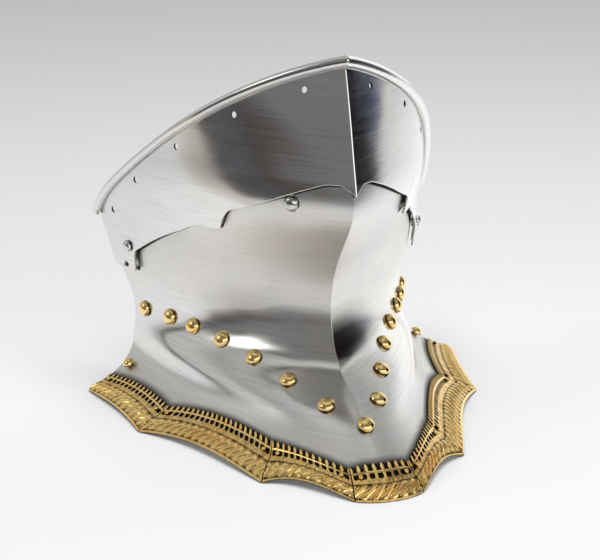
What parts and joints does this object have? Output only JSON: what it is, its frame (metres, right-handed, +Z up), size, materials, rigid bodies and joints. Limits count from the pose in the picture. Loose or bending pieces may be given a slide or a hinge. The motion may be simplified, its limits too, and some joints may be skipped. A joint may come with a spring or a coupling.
{
  "type": "bevor",
  "caption": "Bevor of a knight's helmet: a keeled steel gorget plate with a scalloped brass border, and a falling chin plate on side pivots with a spring catch.",
  "frame": {"origin": "on the ground in the middle of the outer box, under the wearer's neck", "axes": "+Z up when the gorget stands on the tips of its lower edge, the keel and the wearer's face towards -Y, +X to the wearer's left, which is the right of the front view"},
  "size_m": [0.2618, 0.2522, 0.2384],
  "materials": {
    "polished_steel": "hand-polished, fine brushing and handling scratches",
    "border_brass": "pressed relief, bright on the ridges and dark in the recesses",
    "rivet_brass": "polished domes",
    "steel_fittings": "turned and polished",
    "spring_steel": "tempered, dull",
    "lining_leather": "matte vegetable-tanned"
  },
  "bodies": {
    "gorget": {"gorget_plate": "polished_steel", "border_side_right": "border_brass", "border_quarter_right": "border_brass", "border_fore_right": "border_brass", "border_front": "border_brass", "border_fore_left": "border_brass", "border_quarter_left": "border_brass", "border_side_left": "border_brass", "border_pin_01": "border_brass", "border_pin_02": "border_brass", "border_pin_03": "border_brass", "border_pin_04": "border_brass", "border_pin_05": "border_brass", "border_pin_06": "border_brass", "border_pin_07": "border_brass", "border_pin_08": "border_brass", "border_pin_09": "border_brass", "border_pin_10": "border_brass", "border_pin_11": "border_brass", "border_pin_12": "border_brass", "border_pin_13": "border_brass", "border_pin_14": "border_brass", "border_pin_15": "border_brass", "border_pin_16": "border_brass", "border_pin_17": "border_brass", "border_pin_18": "border_brass", "border_pin_19": "border_brass", "border_pin_20": "border_brass", "border_pin_21": "border_brass", "border_pin_22": "border_brass", "lining_rivet_01": "rivet_brass", "lining_rivet_02": "rivet_brass", "lining_rivet_03": "rivet_brass", "lining_rivet_04": "rivet_brass", "lining_rivet_05": "rivet_brass", "lining_rivet_06": "rivet_brass", "lining_rivet_07": "rivet_brass", "lining_rivet_08": "rivet_brass", "lining_rivet_09": "rivet_brass", "lining_rivet_10": "rivet_brass", "lining_rivet_11": "rivet_brass", "lining_rivet_12": "rivet_brass", "lining_rivet_13": "rivet_brass", "lining_rivet_14": "rivet_brass", "lining_rivet_15": "rivet_brass", "strap_stud_left": "rivet_brass", "strap_stud_right": "rivet_brass", "pivot_rivet_left": "steel_fittings", "pivot_rivet_right": "steel_fittings", "pivot_washer_left": "steel_fittings", "pivot_washer_right": "steel_fittings", "spring_rivet_1": "steel_fittings", "spring_rivet_2": "steel_fittings", "lining_band": "lining_leather"},
    "falling": {"falling_plate": "polished_steel"},
    "catch": {"catch_spring": "spring_steel", "catch_stud": "steel_fittings"}
  },
  "joints": [
    {"name": "falling_plate_hinge", "type": "hinge", "parent": "gorget", "child": "falling", "pos_m": [0, 0.0959, 0.0983], "axis": [1, 0, 0], "range_deg": [0, 18]},
    {"name": "catch_press", "type": "hinge", "parent": "gorget", "child": "catch", "pos_m": [-0.05649, 0.01142, 0.14645], "axis": [-0.0314, -0.277, 0.9604], "range_deg": [0, 4], "stiffness_Nm_per_rad": 1}
  ]
}
